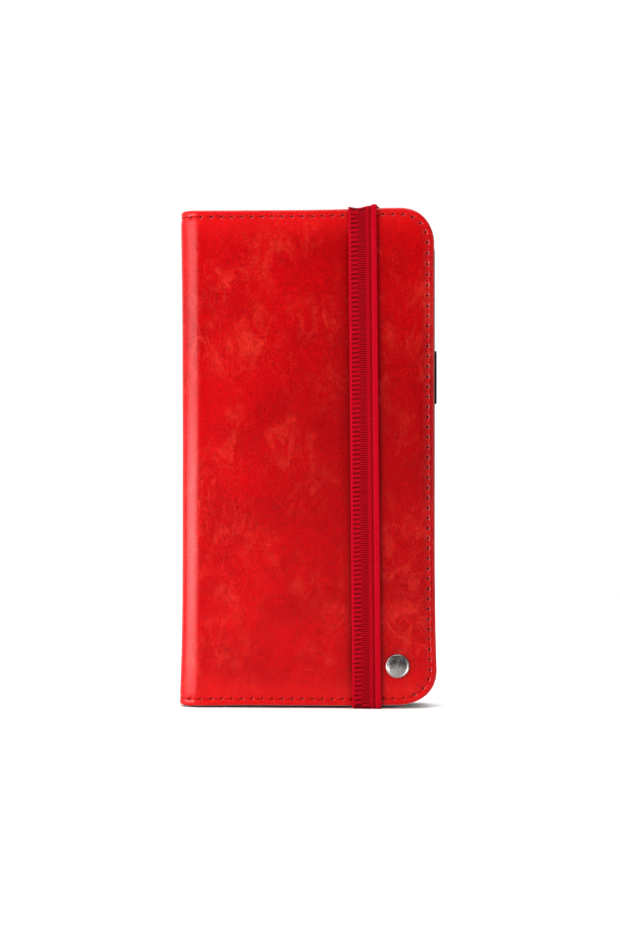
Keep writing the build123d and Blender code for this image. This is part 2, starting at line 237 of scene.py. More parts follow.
class Sheet:
    """Collects the points and faces of a mesh in developed coordinates."""

    def __init__(self):
        self.rows = []
        self.faces = []
        self.count = 0

    def add(self, u, z, d):
        """Adds points and returns their indices, in the shape that the places have."""
        u, z, d = np.broadcast_arrays(np.asarray(u, float), z, d)
        self.rows.append(np.stack([u, z, d], axis=-1).reshape(-1, 3))
        first = self.count
        self.count += u.size
        return np.arange(first, self.count).reshape(u.shape)

    def points(self):
        return np.concatenate(self.rows)

    def zipper(self, a, at_a, b, at_b):
        """Triangles between two rows that run the same way, matched by their places along it."""
        i = j = 0
        while i < len(a) - 1 or j < len(b) - 1:
            next_a = at_a[i + 1] if i < len(a) - 1 else math.inf
            next_b = at_b[j + 1] if j < len(b) - 1 else math.inf
            if next_a <= next_b:
                self.faces.append([int(a[i]), int(a[i + 1]), int(b[j])])
                i += 1
            else:
                self.faces.append([int(a[i]), int(b[j + 1]), int(b[j])])
                j += 1

    def patch(self, outline, inset, depth, step):
        """A grid inside an outline. Returns its rim and the rim's places along the outline."""
        lead_n = max(2, round(outline.lead / step))
        arc_n = max(6, round(outline.bend / step))
        lead = np.linspace(0, outline.lead, lead_n, endpoint=False)
        arc = outline.lead + np.linspace(0, outline.bend, arc_n + 1)
        along = np.concatenate([lead, arc])
        u, top = outline.point(along, inset)
        bottom = outline.point(outline.length - along, inset)[1]
        share = np.linspace(0, 1, round((outline.side + 2 * outline.radius) / step))[:, None]
        z = top + (bottom - top) * share
        grid = self.add(u + 0 * share, z, depth)
        self.faces += grid_faces(grid)
        rim = np.concatenate([grid[0], grid[1:-1, -1], grid[-1, ::-1]])
        side = outline.lead + outline.bend + outline.side * share[1:-1, 0]
        return rim, np.concatenate([along, side, outline.length - along[::-1]])


def hole_stations(outline):
    """Lengths along the seam at the same shares of each stitch, close together at its needle holes."""
    shares = np.array([0, 0.055, 0.12, 0.22, 0.36, 0.5, 0.64, 0.78, 0.88, 0.945])
    along = (np.arange(outline.stitches)[:, None] + shares).ravel() / outline.stitches
    return np.append(along, 1) * outline.length


def cloth_place(u, d, z, rear=False):
    """Texture places in the flat leather, which runs on over the spine to the rear cover."""
    return np.stack([2 * U_SPINE - u if rear else u, d, z], axis=-1)


def tube_faces(rings, sides):
    """Faces of a tube of rings of points, with a cap at each end."""
    faces = []
    for first in range(0, (rings - 1) * sides, sides):
        for k in range(sides):
            n = (k + 1) % sides
            faces.append([first + k, first + n, first + sides + n, first + sides + k])
    faces.append(list(range(sides))[::-1])
    faces.append([(rings - 1) * sides + k for k in range(sides)])
    return faces


def joined(parts):
    """The points and faces of several meshes as one."""
    points, faces, start = [], [], 0
    for part_points, part_faces in parts:
        faces += [[corner + start for corner in face] for face in part_faces]
        points.append(part_points)
        start += len(part_points)
    return np.concatenate(points), faces


def mesh_object(name, points, faces, rest=None, values=None):
    """A closed mesh object from points in millimetres, with its texture places and its wear, painted shade
    and painted light values stored.
    """
    mesh = bpy.data.meshes.new(name)
    mesh.from_pydata((points * MM).tolist(), [], faces)
    rest = points if rest is None else rest
    stored = mesh.attributes.new("cloth_place", "FLOAT_VECTOR", "POINT")
    stored.data.foreach_set("vector", rest.astype(np.float32).ravel())
    for key, value in (values or {}).items():
        layer = mesh.attributes.new(key, "FLOAT", "POINT")
        layer.data.foreach_set("value", np.broadcast_to(value, len(points)).astype(np.float32))
    work = bmesh.new()
    work.from_mesh(mesh)
    rim = [edge for edge in work.edges if edge.is_boundary]
    if rim:
        bmesh.ops.edgeloop_fill(work, edges=rim)
    bmesh.ops.recalc_face_normals(work, faces=work.faces)
    for face in work.faces:
        face.smooth = len(face.verts) <= 4
    work.to_mesh(mesh)
    work.free()
    piece = bpy.data.objects.new(name, mesh)
    bpy.context.scene.collection.objects.link(piece)
    return piece


# ---- leather relief


def waves(u, z, size, seed):
    """Soft irregular relief between about -1 and 1, with bumps of the given size."""
    spread = np.random.default_rng(seed)
    count = 7
    total = 0
    for _ in range(count):
        angle = spread.uniform(0, 2 * math.pi)
        rate = 2 * math.pi / (size * spread.uniform(0.7, 1.9))
        shift = spread.uniform(0, 2 * math.pi)
        total = total + np.sin((u * math.cos(angle) + z * math.sin(angle)) * rate + shift)
    return total / (count / 2)


def strap_lean(z):
    """How far the strap stands off its line as it leans across the front, and half its width."""
    share = (z - Z_BASE) / (Z_TOP - Z_BASE)
    return 0.82 - 1.5 * share, 4.78 - 0.1 * share


def to_edge(u, z):
    """Distance inward from the cover's edge."""
    dz = np.minimum(Z_TOP - z, z - Z_BASE)
    du = X_EDGE - u
    corner_u = np.maximum(CORNER_R - du, 0)
    corner_z = np.maximum(CORNER_R - dz, 0)
    in_corner = (corner_u > 0) & (corner_z > 0)
    return np.where(in_corner, CORNER_R - np.hypot(corner_u, corner_z), np.minimum(du, dz))


def seam_relief(along, inset, pitch):
    """Extra depth and painted shade of the seam: a pucker at each hole, a swell between holes, and painted
    shade in the holes.
    """
    phase = (along / pitch) % 1.0
    off = np.minimum(phase, 1 - phase) * pitch
    across = inset - SEAM
    hole = bell(off, 0.24) * bell(across, 0.26)
    swell = bell(across, 0.6) * np.cos(2 * math.pi * phase)
    # Painted shade in the needle holes.
    dark = np.clip(1.6 * bell(off, 0.3) * bell(across, 0.27), 0, 1)
    return 0.42 * hole + 0.05 * swell, dark


def front_relief(u, z):
    """Depth of the front cover's outer face below a flat one: crown, use and what presses on it."""
    edge = to_edge(u, z)
    flat = smooth(X_BEND - 2, X_BEND + 6, u)
    crown = -0.08 * smooth(SEAM, 9, edge)
    beside_bend = smooth(X_BEND + 0.4, X_BEND + 2.8, u) * (1 - smooth(X_BEND + 2.8, X_BEND + 14, u))
    valley = 0.14 * beside_bend + 0.3 * bell(u - X_BEND + 2.0, 2.0)
    soft = (0.05 * waves(u, z, 24, 3) + 0.014 * waves(u, z, 5, 4)) * smooth(3, 8, edge)
    lean, half = strap_lean(z)
    from_strap = np.abs(u - X_STRAP - lean) - half
    press = 0.16 * (1 - smooth(-0.6, 2.6, from_strap))
    from_rivet = np.hypot(u - X_RIVET, z - Z_RIVET) - RIVET_R
    press_rivet = 0.22 * (1 - smooth(-0.5, 1.3, from_rivet))
    return crown + valley + soft * (0.4 + 0.6 * flat) + press + press_rivet


def rear_relief(u, z):
    """The same for the rear cover, with the shallow bed that the stored strap has pressed."""
    edge = to_edge(u, z)
    crown = -0.05 * smooth(SEAM, 9, edge)
    soft = 0.04 * waves(u, z, 26, 13) + 0.012 * waves(u, z, 5, 14)
    lean, half = strap_lean(z)
    from_strap = np.abs(u - X_STRAP + lean) - half
    press = 0.25 * (1 - smooth(0, 2.6, from_strap))
    return crown + soft * smooth(3, 8, edge) + press


# (inset, depth) of the cover leather's section, from under the lining, round the edge, over the seam.
EDGE_SECTION = [
    (4.5, 2.1), (3.0, 2.12), (1.6, 2.3), (1.0, 2.45), (0.5, 2.42), (0.15, 2.15),
    (0.0, 1.7), (0.0, 1.25), (0.06, 0.88), (0.2, 0.56), (0.4, 0.34), (0.62, 0.22),
    (0.72, 0.23), (0.84, 0.17), (1.1, 0.11), (1.4, 0.12), (1.65, 0.17), (1.85, 0.23),
    (2.03, 0.28), (2.2, 0.31), (2.37, 0.285), (2.6, 0.235), (2.9, 0.165), (3.3, 0.085), (3.7, 0.01),
]


def sewn_sheet(outline, section, dips, last_field, first_field):
    """A sheet with a ring of points along an outline for each (inset, depth) of a section.

    dips says how strongly each ring takes the needle holes. The fields are the (inset, depth, step) of the
    grids inside the last and the first ring. Returns the sheet and the painted shade in the needle holes at
    each point of the rings.
    """
    sheet = Sheet()
    along = hole_stations(outline)
    rings, dark = [], []
    for (inset, depth), share in zip(section, dips):
        u, z = outline.point(along, inset)
        dip, hole = seam_relief(along, inset, outline.pitch)
        rings.append(sheet.add(u, z, depth + dip * share))
        dark.append(hole * (share != 0))
    sheet.faces += grid_faces(rings)
    for ring, field in ((rings[-1], last_field), (rings[0], first_field)):
        sheet.zipper(ring, along, *sheet.patch(outline, *field))
    return sheet, np.concatenate(dark)


def padded(values, count):
    """Values of the first points, and 0 for the rest."""
    return np.pad(values, (0, count - len(values)))


def leather_skin(name, relief, rear=False):
    """A cover's leather with its bend and half of the spine: turned edges, seam groove and needle holes."""
    dips = [1.0 if inset > 0.3 and depth < 1 else 0.0 for inset, depth in EDGE_SECTION]
    sheet, dark = sewn_sheet(COVER, EDGE_SECTION, dips, (4.0, -0.04, 1.0), (4.8, LEATHER_T, 3.0))
    u, z, d = sheet.points().T
    outer = 1 - smooth(0.5, 1.0, d)
    d = thinned(u, d) + relief(u, z) * outer
    near_edge = 0.3 * (1 - smooth(0.15, 0.9, to_edge(u, z)))
    painted_end_light = 0.6 * (1 - smooth(1, 13, np.minimum(z - Z_BASE, Z_TOP - z)))
    values = {
        # Painted shade in the needle holes.
        "hole": padded(dark, len(u)),
        # Painted shade beside the strap, none on the rear cover.
        "strap_shade": 0 * u if rear else painted_strap_shade(u, z),
        # Painted shade, darkest in the middle of the free side.
        "painted_shade": painted_middle_shade(u, z),
        # Lighter worn edges, and painted light toward the top and bottom ends.
        "edge": np.maximum(near_edge, painted_end_light) * outer,
    }
    rest = cloth_place(u, d, z, rear)
    return mesh_object(name, place(u, z, d, rear), sheet.faces, rest, values)


def painted_middle_shade(u, z):
    """Painted shade: most in the middle of the free side, least at the bottom."""
    middle = 0.3 * bell(z - 93, 50) * smooth(-28, 14, u) + 0.04 * bell(z - 90, 40)
    return middle + 0.09 * smooth(18, 60, z)


def painted_strap_shade(u, z):
    """Painted shade beside the strap, most on its left side."""
    lean, half = strap_lean(z)
    across = u - X_STRAP - lean
    off = np.clip(np.abs(across) - half, 0, None)
    near = 0.72 * np.exp(-off / 1.3) + 0.12 * np.exp(-off / 6)
    far = 0.04 * np.exp(-off / 2.5) + 0.1 * np.exp(-off / 6)
    return np.where(across < 0, near, far)


# (inset, height) of the lining's section, from its glued face round its cut edge to its open face.
LINING_SECTION = [
    (3.0, 0.03), (1.6, 0.03), (1.15, 0.05), (1.05, 0.15), (1.05, 0.35), (1.12, 0.46),
    (1.3, 0.5), (1.6, 0.49), (1.85, 0.42), (2.03, 0.35), (2.2, 0.32), (2.37, 0.35),
    (2.55, 0.42), (2.8, 0.49), (3.2, 0.5),
]


def inner_dips(section):
    """How strongly each ring of an inner section takes the needle holes: only its open face does."""
    return [-0.6 if height > 0.3 else 0.0 for _, height in section]


def lining_skin(name, rear=False):
    """The lining over a cover, its bend and half of the spine."""
    section = [(inset, LINING_D + height) for inset, height in LINING_SECTION]
    fields = (3.7, LINING_D + LINING_T, 1.5), (3.4, LINING_D + 0.03, 3.0)
    sheet, dark = sewn_sheet(COVER, section, inner_dips(LINING_SECTION), *fields)
    u, z, d = sheet.points().T
    open_face = d > LINING_D + 0.3
    soft = 0.03 * waves(u, z, 14, 21) * smooth(3, 7, to_edge(u, z)) * open_face
    points = place(u, z, thinned(u, d + soft), rear)
    rest = cloth_place(u, d, z, rear)
    return mesh_object(name, points, sheet.faces, rest, {"hole": padded(dark, len(u))})


def cut_window(piece, grow):
    """Cuts the camera window, grown by a distance, out of a rear piece."""
    u, z = CAMERA_WINDOW.edge(grow)
    count = len(u)
    outside = np.stack([u, Y_REAR + 1 + 0 * u, z], axis=-1)
    inside = np.stack([u, Y_REAR - 4 + 0 * u, z], axis=-1)
    faces = [[k, (k + 1) % count, count + (k + 1) % count, count + k] for k in range(count)]
    cutter = mesh_object("cutter", np.concatenate([outside, inside]), faces)
    change = piece.modifiers.new("window", "BOOLEAN")
    change.operation = "DIFFERENCE"
    change.solver = "EXACT"
    change.object = cutter
    cut = piece.evaluated_get(bpy.context.evaluated_depsgraph_get())
    old = piece.data
    piece.data = bpy.data.meshes.new_from_object(cut)
    piece.modifiers.clear()
    bpy.data.objects.remove(cutter)
    bpy.data.meshes.remove(old)
    place_cut_points(piece.data)


def place_cut_points(mesh):
    """Stores the texture place of a flat rear piece's points round its window."""
    count = len(mesh.vertices)
    points = np.empty(count * 3)
    mesh.vertices.foreach_get("co", points)
    x, y, z = points.reshape(-1, 3).T / MM
    stored = np.empty(count * 3)
    layer = mesh.attributes["cloth_place"].data
    layer.foreach_get("vector", stored)
    stored = stored.reshape(-1, 3)
    near = CAMERA_WINDOW.distance(x, z) < 1.5
    stored[near] = cloth_place(x, Y_REAR - y, z, rear=True)[near]
    layer.foreach_set("vector", stored.ravel())


def window_rim():
    """The leather turned in round the camera window."""
    sheet = Sheet()
    section = [  # (distance outward from the window, depth)
        (1.4, 0.1), (0.9, 0.0), (0.62, -0.07), (0.36, -0.03), (0.16, 0.12), (0.04, 0.38),
        (0.0, 0.8), (0.0, 2.0), (0.1, 2.2), (0.4, 2.3), (1.2, 2.3), (1.4, 1.2),
    ]
    rings = [sheet.add(*CAMERA_WINDOW.edge(grow), depth) for grow, depth in section]
    rings = [np.append(ring, ring[0]) for ring in rings]
    sheet.faces += grid_faces(rings + rings[:1])
    u, z, d = sheet.points().T
    rest = cloth_place(u, d, z, rear=True)
    values = {"edge": 1 - smooth(0.2, 0.9, np.abs(d - 0.1)), "hole": 0.0, "strap_shade": 0.0}
    return mesh_object("window_rim", place(u, z, d, rear=True), sheet.faces, rest, values)


def spine_stiffener():
    """The board inside the spine, bowed as the leather over it is."""
    low, high = cad_box("spine_board")
    heights = np.linspace(low[2], high[2], 60)
    corners = [(low[0], low[1]), (high[0], low[1]), (high[0], high[1]), (low[0], high[1])]
    rows = [np.stack([x + 0 * heights, y + 0 * heights, heights], axis=-1) for x, y in corners]
    points = np.stack(rows, axis=1).reshape(-1, 3)
    shift_x, _ = flare(points[:, 0], points[:, 2])
    points[:, 0] += shift_x
    return mesh_object("spine_stiffener", points, tube_faces(len(heights), len(corners)))


# ---- pockets


POCKETS = ["cash_pocket", "card_pocket_1", "card_pocket_2", "card_pocket_3"]
POCKET_T = 0.5  # the leather that the two sections below are drawn for

# (inset, height) of a pocket panel's section: glued face, cut edge, seam and open face.
POCKET_SECTION = [
    (3.0, 0.02), (1.0, 0.02), (0.2, 0.05), (0.03, 0.14), (0.0, 0.3), (0.08, 0.43),
    (0.28, 0.5), (0.48, 0.48), (0.6, 0.5), (1.1, 0.52), (1.6, 0.48), (1.85, 0.42),
    (2.03, 0.36), (2.2, 0.33), (2.37, 0.36), (2.55, 0.42), (2.8, 0.49), (3.2, 0.51),
]
# (distance from the mouth, height) of the folded strip along it, round the strip.
HEM_SECTION = [
    (0.0, 0.04), (-0.14, 0.16), (-0.16, 0.36), (-0.02, 0.56), (0.22, 0.64), (0.8, 0.64), (1.05, 0.58),
    (1.15, 0.52), (1.25, 0.58), (1.5, 0.62), (2.1, 0.62), (2.35, 0.54), (2.4, 0.3), (2.3, 0.04),
]


def pocket_bulge(u, z, outline):
    """How far the pocket leather stands off what is under it, between its sewn edges."""
    from_edge = np.minimum(outline.top - z, z - outline.bottom)
    from_edge = np.minimum(from_edge, outline.right - u)
    return (0.14 + 0.05 * waves(u, z, 30, 51)) * smooth(2.6, 20, from_edge)


def pocket_outline(pocket):
    low, high = cad_box(pocket)
    return Outline(low[0], high[0], low[2], high[2], POCKET_R)


def pocket_panel(pocket):
    """A pocket's leather panel, with a turned hem along its open edge."""
    low, high = cad_box(pocket)
    outline = pocket_outline(pocket)
    depth = low[1] - Y_FRONT
    thickness = high[1] - low[1]
    section = [(inset, depth + height * thickness / POCKET_T) for inset, height in POCKET_SECTION]
    fields = (3.7, depth + thickness, 1.5), (3.4, depth + 0.02, 6.0)
    sheet, dark = sewn_sheet(outline, section, inner_dips(POCKET_SECTION), *fields)
    add_hem(sheet, outline, depth, thickness)
    u, z, d = sheet.points().T
    d = d + pocket_bulge(u, z, outline)
    values = {
        "hole": padded(dark, len(u)),
        "edge": 0.6 * (1 - smooth(0.2, 2.0, u - outline.left)),
    }
    return mesh_object(pocket + "_panel", place(u, z, d), sheet.faces, cloth_place(u, d, z), values)


def add_hem(sheet, outline, depth, thickness):
    """A folded strip along a pocket's mouth, with a creased line where it is pressed down."""
    margin = 0.35
    run = np.linspace(outline.bottom + margin, outline.top - margin, 160)
    rows = []
    for across, height in HEM_SECTION:
        rows.append(sheet.add(outline.left + across + 0 * run, run, depth + height * thickness / POCKET_T))
    sheet.faces += grid_faces(rows + rows[:1])
    sheet.faces.append([int(row[0]) for row in rows])
    sheet.faces.append([int(row[-1]) for row in rows][::-1])


def pocket_stitches():
    """Each pocket is sewn where it shows past the next one, and the last all the way round."""
    rows = []
    for index, pocket in enumerate(POCKETS):
        outline = pocket_outline(pocket)
        depth = cad_box(pocket)[1][1] - Y_FRONT - INNER_SUNK
        last = index == len(POCKETS) - 1
        shown = None if last else cad_box(POCKETS[index + 1])[0][0] - outline.left - 0.3
        developed, faces = thread_row(outline, depth, seed=61 + index, shown=shown)
        u, z, d = developed.T
        rows.append((place(u, z, d + pocket_bulge(u, z, outline)), faces))
    return mesh_object("pocket_stitches", *joined(rows))


# ---- stitches


def capsule(length, radius):
    """A thread length's points as (along, across, up) and its faces. It dips at both ends."""
    rings, sides = 9, 8
    share = np.linspace(-1, 1, rings)
    swell = np.sqrt(np.clip(1 - share**4, 0.02, 1))
    turn = np.arange(sides) * 2 * math.pi / sides
    along = np.repeat(share * length / 2, sides)
    across = (swell[:, None] * radius * np.cos(turn)).ravel()
    up = (swell[:, None] * radius * 0.8 * np.sin(turn)).ravel()
    up = up - radius * np.repeat(np.abs(share) ** 3, sides)
    return np.stack([along, across, up], axis=-1), tube_faces(rings, sides)


def thread_row(outline, depth, seed, outer=False, shown=None):
    """Developed points and faces of a row of stitches along an outline's seam.

    outer says that the row is on a cover's outer face. shown keeps only that length at either end.
    """
    pitch = outline.pitch
    radius, slant, rise = (0.25, 0.15, -1) if outer else (0.24, -0.05, 1)
    form, form_faces = capsule(pitch - STITCH_GAP, radius)
    spread = np.random.default_rng(seed)
    stitches = []
    for k in range(outline.stitches):
        centre = (k + 0.5) * pitch
        if shown and shown < centre + pitch / 2 and centre - pitch / 2 < outline.length - shown:
            continue
        tilt = slant + spread.normal(0, 0.02)
        height = spread.normal(0, 0.015)
        inset = SEAM + form[:, 1] + tilt * form[:, 0]
        u, z = outline.point(centre + form[:, 0], inset)
        d = depth + rise * (form[:, 2] + height)
        stitches.append((np.stack([u, z, d], axis=-1), form_faces))
    return joined(stitches)


def cover_threads(name, rear=False):
    """Stitches on the outer and the inner face of a cover."""
    rows = []
    for developed, faces in (
        thread_row(COVER, 0.26, seed=31 + rear, outer=True),
        thread_row(COVER, LINING_D + LINING_T - INNER_SUNK, seed=41 + rear),
    ):
        u, z, d = developed.T
        rows.append((place(u, z, thinned(u, d), rear), faces))
    return mesh_object(name, *joined(rows))


# ---- strap


RIB = 0.77  # length of one rib of the weave. The bars of its ladder are two ribs apart.
TWILL = 1.1  # length from one line of the selvedges' twill to the next
WEAVE_HIGH = 0.17  # the highest part of the weave, the right selvedge, above its base
STRAP_BEND_R = 0.5
STRAP_COLUMNS = 44  # mesh points across the strap
STRAP_STEP = 0.15  # length between rows of mesh points


def weave(across, along):
    """Height, painted shade and painted highlight of the weave at a share of the width and a length along
    it, in mm.

    From left to right: a selvedge, a ladder of bars over dark slots, fine ribs, a cord, a groove, and a
    broad selvedge with a lower lip.
    """
    left = 1 - smooth(0.065, 0.09, across)
    ladder = smooth(0.075, 0.095, across) * (1 - smooth(0.33, 0.36, across))
    ribs = smooth(0.34, 0.36, across) * (1 - smooth(0.60, 0.62, across))
    cord = bell(across - 0.665, 0.05)
    groove = bell(across - 0.775, 0.03)
    right = smooth(0.80, 0.82, across)
    lip = smooth(0.90, 0.93, across)
    uneven = waves(across * 9, along, 7, 71)
    slot = np.sin(2 * math.pi * (along / (2 * RIB) + 0.05 * np.sin(along / 3.1)) + 3.5 * across)
    bar = smooth(-0.75, 0.1, slot + 0.25 * uneven)
    fine = np.sin(2 * math.pi * along / RIB + 2 * across)
    twill = np.sin(2 * math.pi * (along / TWILL + across * 5)) * (left + right)
    height = 0.10 * left + WEAVE_HIGH * right - 0.05 * lip + 0.10 * cord - 0.1 * groove
    height = height + ladder * (0.02 + 0.12 * bar) + ribs * (0.06 + 0.06 * fine) + 0.015 * twill
    # Painted shade in the low parts: under the ladder's bars, between the ribs and in the groove, with some
    # twill pattern.
    dark = ladder * (0.15 + 0.85 * (1 - bar)) * (0.8 + 0.2 * uneven) + ribs * (0.44 - 0.44 * fine)
    dark = dark + 0.8 * groove + 0.12 * twill + cord * (0.22 - 0.22 * slot * uneven)
    # Painted highlight on the raised parts: the selvedges, the cord and the ladder's bars.
    painted_light = 0.8 * left + right * (1 - 0.45 * lip) + 0.35 * cord + 0.45 * ladder * bar
    return height, np.clip(dark, 0, 1), np.clip(painted_light, 0, 1)


def crest(share, z):
    """How the strap rides up on the cover's top edge, most at its free side."""
    rise = 0.28 - 0.75 * bell(share - 0.3, 0.3) + 0.5 * smooth(0.55, 1, share)
    return rise * smooth(STRAP_TOP - 3, STRAP_TOP, z)


def rounded_path(corners):
    """Points along a Y-Z path with round corners, their normals and their places along it.

    The normals point to the path's right, seen from +X.
    """
    corners = np.array(corners, float)
    points = [corners[0]]
    for before, corner, after in zip(corners[:-2], corners[1:-1], corners[2:]):
        back = (before - corner) / np.linalg.norm(before - corner)
        ahead = (after - corner) / np.linalg.norm(after - corner)
        centre = corner + (back + ahead) * STRAP_BEND_R
        for turn in np.linspace(0, math.pi / 2, 7):
            points.append(centre - (back * math.sin(turn) + ahead * math.cos(turn)) * STRAP_BEND_R)
    points = np.array(points + [corners[-1]])
    gaps = np.linalg.norm(np.diff(points, axis=0), axis=1)
    run = np.concatenate([[0], np.cumsum(gaps)])
    even = np.linspace(0, run[-1], max(2, int(run[-1] / STRAP_STEP) + 1))
    even = np.unique(np.concatenate([even, run[1:-1]]))
    line = np.stack([np.interp(even, run, points[:, k]) for k in (0, 1)], axis=-1)
    heading = np.gradient(line, axis=0)
    heading /= np.linalg.norm(heading, axis=1)[:, None]
    return line, np.stack([heading[:, 1], -heading[:, 0]], axis=-1), even


def band_mesh(name, corners, across, outward):
    """A woven band over a Y-Z path. across gives its centre line and half its width at (y, z)."""
    line, normal, run = rounded_path(corners)
    normal = normal * outward
    run = run[:, None]
    share = np.linspace(0, 1, STRAP_COLUMNS)
    height, dark, painted_light = weave(share[None, :], run)
    y, z = line[:, :1], line[:, 1:]
    centre, half = across(y, z)
    x = centre + half * (2 * share - 1)[None, :]
    reach = STRAP_T - WEAVE_HIGH + height
    top = np.stack([x, y + normal[:, :1] * reach, z + normal[:, 1:] * reach + crest(share, z)], axis=-1)
    under = np.stack([x, y + 0 * x, z + crest(share, z)], axis=-1)[:, ::STRAP_COLUMNS - 1]
    points = np.concatenate([top.reshape(-1, 3), under.reshape(-1, 3)])
    rows = len(line)
    index = np.arange(rows * STRAP_COLUMNS).reshape(rows, STRAP_COLUMNS)
    low = index.size + np.arange(rows * 2).reshape(rows, 2)
    faces = grid_faces(index)
    for left, right in ((index[:, 0], low[:, 0]), (low[:, 1], index[:, -1]), (low[:, 0], low[:, 1])):
        faces += grid_faces([left, right])
    rest = np.concatenate([
        np.stack(np.broadcast_arrays(share * STRAP_W, 0.0, run), axis=-1).reshape(-1, 3),
        np.stack(np.broadcast_arrays(np.array([0, STRAP_W]), 1.0, run), axis=-1).reshape(-1, 3),
    ])
    # The underside takes some painted shade and no painted highlight.
    under_painted_shade, under_painted_light = np.full(rows * 2, 0.3), np.zeros(rows * 2)
    values = {
        "gap": np.concatenate([dark.ravel(), under_painted_shade]),
        "sheen": np.concatenate([painted_light.ravel(), under_painted_light]),
    }
    return mesh_object(name, points, faces, rest, values)


def front_strand():
    """The strand over the front cover, with the ends that turn back over its top and bottom edges."""
    end_y = STRAP_HIGH[1]
    corners = [(end_y, STRAP_TOP), (STRAP_Y, STRAP_TOP), (STRAP_Y, STRAP_BOTTOM), (end_y, STRAP_BOTTOM)]

    def across(_, z):
        lean, half = strap_lean(z)
        return X_STRAP + lean, half

    return band_mesh("strap_front_weave", corners, across, outward=1)


def end_run(name, top):
    """The strap's run over the top or bottom edge, and its tab sewn into the rear cover.

    The run drifts toward the free edge on its way back, more at the top.
    """
    edge_z, outward, drift = (STRAP_TOP, 1, 1.8) if top else (STRAP_BOTTOM, -1, 0.6)
    tab = 12
    gap = 0.05
    back = TAB_Y - STRAP_T
    corners = [(back, edge_z - outward * tab), (back, edge_z), (STRAP_HIGH[1] + gap, edge_z)]
    lean, half = strap_lean(edge_z)

    def across(y, _):
        return X_STRAP + lean + drift * smooth(STRAP_HIGH[1], TAB_Y, y), half

    return band_mesh(name, corners, across, outward)


# ---- rivet


def rivet_head():
    """A low domed cap with a fine groove and a bevelled rim, on its post, from (radius, depth) points."""
    length = RIVET_HIGH[1] - RIVET_LOW[1]
    dome = [(0.1 + 0.25 * k, 0.02 + 0.0008 * k * k) for k in range(12)]
    groove = [(3.05, 0.15), (3.2, 0.19), (3.28, 0.21), (3.38, 0.14), (3.5, 0.09)]
    rim = [(3.66, 0.12), (RIVET_R - 0.12, 0.32), (RIVET_R, 0.58), (RIVET_R, 1.1)]
    post = [(1.5, 1.1), (1.5, length), (0.1, length)]
    section = np.array(dome + groove + rim + post)
    radius, depth = section.T[:, :, None]
    sides = 96
    turn = np.arange(sides) * 2 * math.pi / sides
    x = X_RIVET + radius * np.cos(turn)
    z = Z_RIVET + radius * np.sin(turn)
    points = np.stack([x, RIVET_LOW[1] + depth + 0 * x, z], axis=-1).reshape(-1, 3)
    # Painted reflection: the lower half lighter than the top, with a wavy boundary.
    up = points[:, 2] - Z_RIVET + 0.7 * waves(points[:, 0], points[:, 2], 3, 81)
    values = {"painted_light": 1 - smooth(-1.6, 1.4, up)}
    return mesh_object("rivet_head", points, tube_faces(len(section), sides), values=values)


# ---- materials


def node(tree, kind, inputs=None, **settings):
    """Adds a shader node. An input is a value or another node's output."""
    made = tree.nodes.new("ShaderNode" + kind)
    for key, value in settings.items():
        setattr(made, key, value)
    for socket, value in (inputs or {}).items():
        if isinstance(value, bpy.types.NodeSocket):
            tree.links.new(value, made.inputs[socket])
        else:
            made.inputs[socket].default_value = value
    return made


